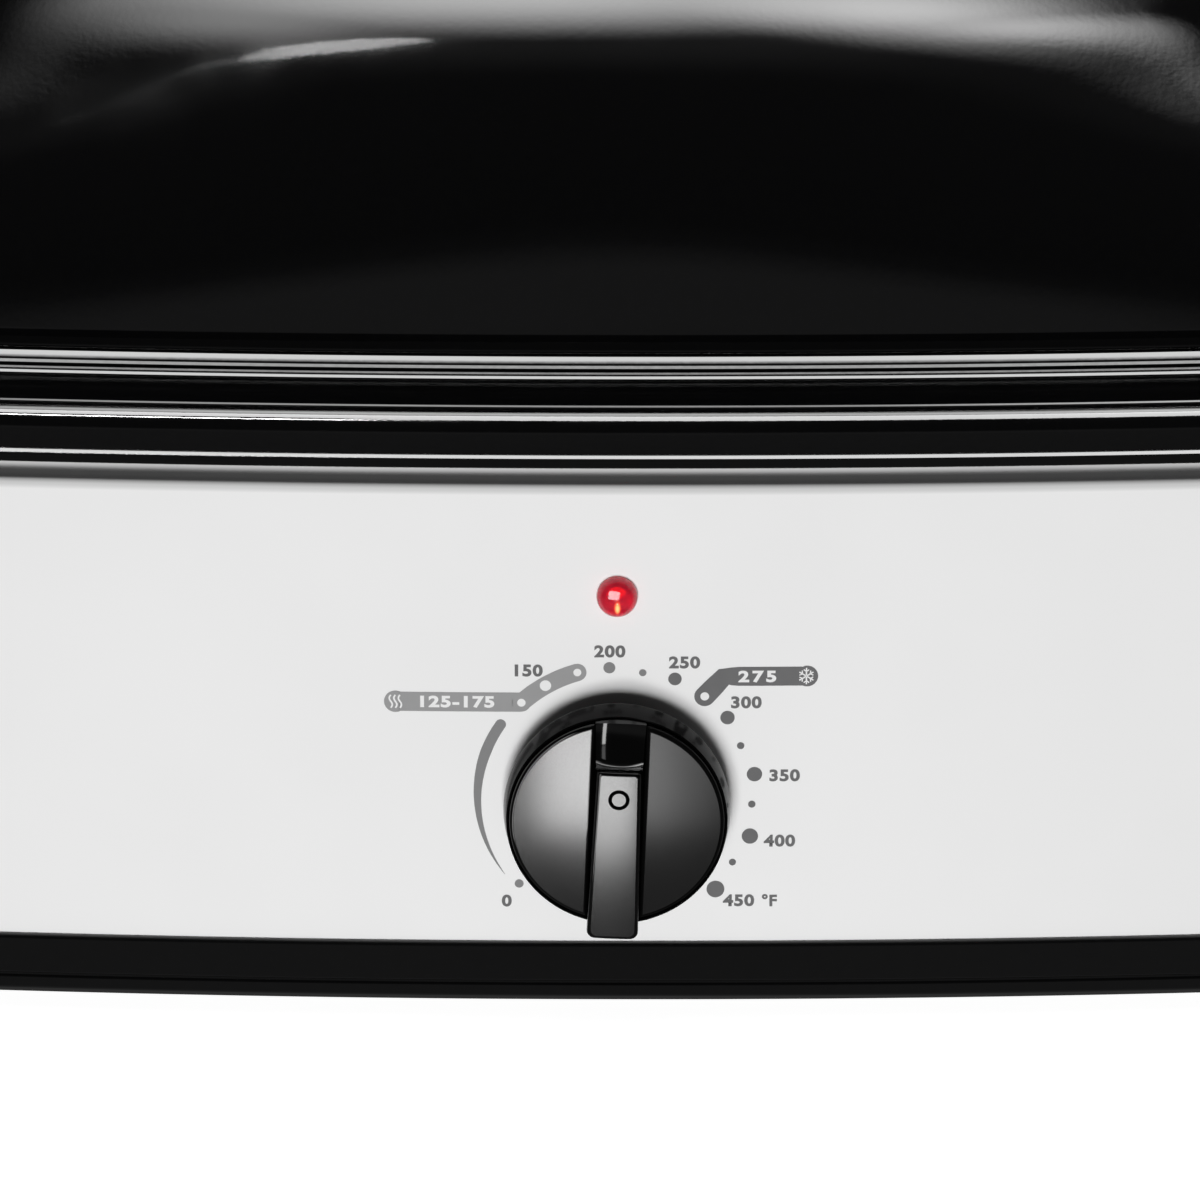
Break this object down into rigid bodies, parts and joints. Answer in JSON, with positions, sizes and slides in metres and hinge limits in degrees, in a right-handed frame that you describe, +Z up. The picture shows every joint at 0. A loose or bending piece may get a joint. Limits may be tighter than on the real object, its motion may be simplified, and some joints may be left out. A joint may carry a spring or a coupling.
{
  "type": "electric roaster oven",
  "caption": "Countertop roaster oven with a white housing, lift-out pan and rack, high domed lid on rear hinges, front dial knob and pilot light.",
  "frame": {"origin": "on the table, under the centre of the whole object", "axes": "+X to the right as seen from the front, +Y to the back where the hinges are, +Z up"},
  "size_m": [0.584, 0.4157, 0.2826],
  "materials": {
    "white_paint": "semi-gloss white",
    "black_enamel": "gloss black enamel",
    "speckled_enamel": "gloss black enamel",
    "black_moulding": "semi-gloss",
    "black_rubber": "matte",
    "knob_plastic": "gloss sides, satin front",
    "red_lens": "translucent red",
    "neon_glass": "clear",
    "plated_steel": "zinc plated",
    "chromed_wire": "bright",
    "aluminised_steel": "satin",
    "mica_band": "foil on mica",
    "glass_fibre": "soft",
    "brown_phenolic": "matte",
    "steatite": "matte",
    "lead_sleeve": "matte",
    "brass_contact": "bright",
    "white_nylon": "matte"
  },
  "bodies": {
    "housing": {"housing": "white_paint", "base_skirt": "black_moulding", "bottom_plate": "aluminised_steel", "base_screws": "plated_steel", "foot_front_left": "black_rubber", "foot_front_right": "black_rubber", "foot_rear_left": "black_rubber", "foot_rear_right": "black_rubber", "heat_well": "black_enamel", "left_handle": "black_moulding", "right_handle": "black_moulding", "handle_screws": "plated_steel", "thermostat_body": "steatite", "thermostat_bracket": "plated_steel", "thermostat_screws": "plated_steel", "thermostat_terminals": "brass_contact", "indicator_lens": "red_lens", "neon_lamp": "neon_glass", "lens_push_nut": "plated_steel", "heater_band": "mica_band", "heater_terminals": "brass_contact", "insulation_blanket": "glass_fibre", "heat_shield": "aluminised_steel", "tie_stud": "plated_steel", "tie_nut": "plated_steel", "tie_spacers": "plated_steel", "cord_gland": "brown_phenolic", "gland_nut": "white_nylon", "terminal_block": "steatite", "terminal_screws": "brass_contact", "lead_wires": "lead_sleeve", "thermal_fuse": "aluminised_steel", "left_hinge_saddle": "plated_steel", "right_hinge_saddle": "plated_steel", "saddle_rivets": "plated_steel"},
    "lid": {"lid_shell": "black_enamel", "lid_handle": "black_moulding", "lid_handle_screws": "plated_steel", "lid_handle_washers": "plated_steel", "left_hinge_arm": "plated_steel", "right_hinge_arm": "plated_steel", "hinge_pins": "plated_steel", "lid_rivets": "plated_steel"},
    "pan": {"insert_pan": "speckled_enamel"},
    "rack": {"rack_grid": "chromed_wire", "rack_handle_left": "chromed_wire", "rack_handle_right": "chromed_wire"},
    "knob": {"control_knob": "knob_plastic", "knob_clip": "plated_steel", "thermostat_shaft": "plated_steel"}
  },
  "joints": [
    {"name": "pan_lift", "type": "slide", "parent": "housing", "child": "pan", "axis": [0, 0, 1], "range_m": [0, 0.16]},
    {"name": "rack_lift", "type": "slide", "parent": "pan", "child": "rack", "axis": [0, 0, 1], "range_m": [0, 0.05]},
    {"name": "lid_hinge", "type": "hinge", "parent": "pan", "child": "lid", "pos_m": [0, 0.2024, 0.15], "axis": [-1, 0, 0], "range_deg": [0, 97]},
    {"name": "knob_turn", "type": "hinge", "parent": "housing", "child": "knob", "pos_m": [0, -0.184, 0.0522], "axis": [0, 1, 0], "range_deg": [-135.6, 132.7]}
  ]
}
